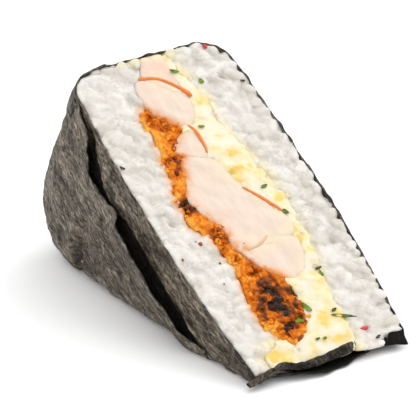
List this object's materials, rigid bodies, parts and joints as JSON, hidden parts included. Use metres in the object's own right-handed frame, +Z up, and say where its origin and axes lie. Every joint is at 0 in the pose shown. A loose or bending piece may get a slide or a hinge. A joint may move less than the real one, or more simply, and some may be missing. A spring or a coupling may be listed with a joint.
{
  "type": "halved onigiri rice ball",
  "caption": "Half of a triangular onigiri wrapped in nori, cut from base to apex and laid on its slanted side, with rice, egg, meat and crumb filling showing at the cut.",
  "frame": {"origin": "under the middle of the whole half, on the surface that it rests on", "axes": "+X along the slanted side that it rests on, towards the apex; +Y through the thickness, away from the side with the overlapping flap; +Z up"},
  "size_m": [0.0868, 0.0422, 0.0439],
  "materials": {
    "rice": "moist, slightly glossy grains",
    "meat": "pale, moist, slightly fibrous",
    "crumb": "rough fried crumb with glossy sauce",
    "egg": "soft, creamy and lumpy",
    "nori": "dry, streaky, faint sheen"
  },
  "bodies": {
    "root": {"rice_thin_side": "rice", "rice_thick_side": "rice", "meat_top": "meat", "meat_upper": "meat", "meat_small": "meat", "meat_main": "meat", "meat_end": "meat", "crumb_coat": "crumb", "egg_salad": "egg", "nori_sheet": "nori"}
  },
  "joints": []
}
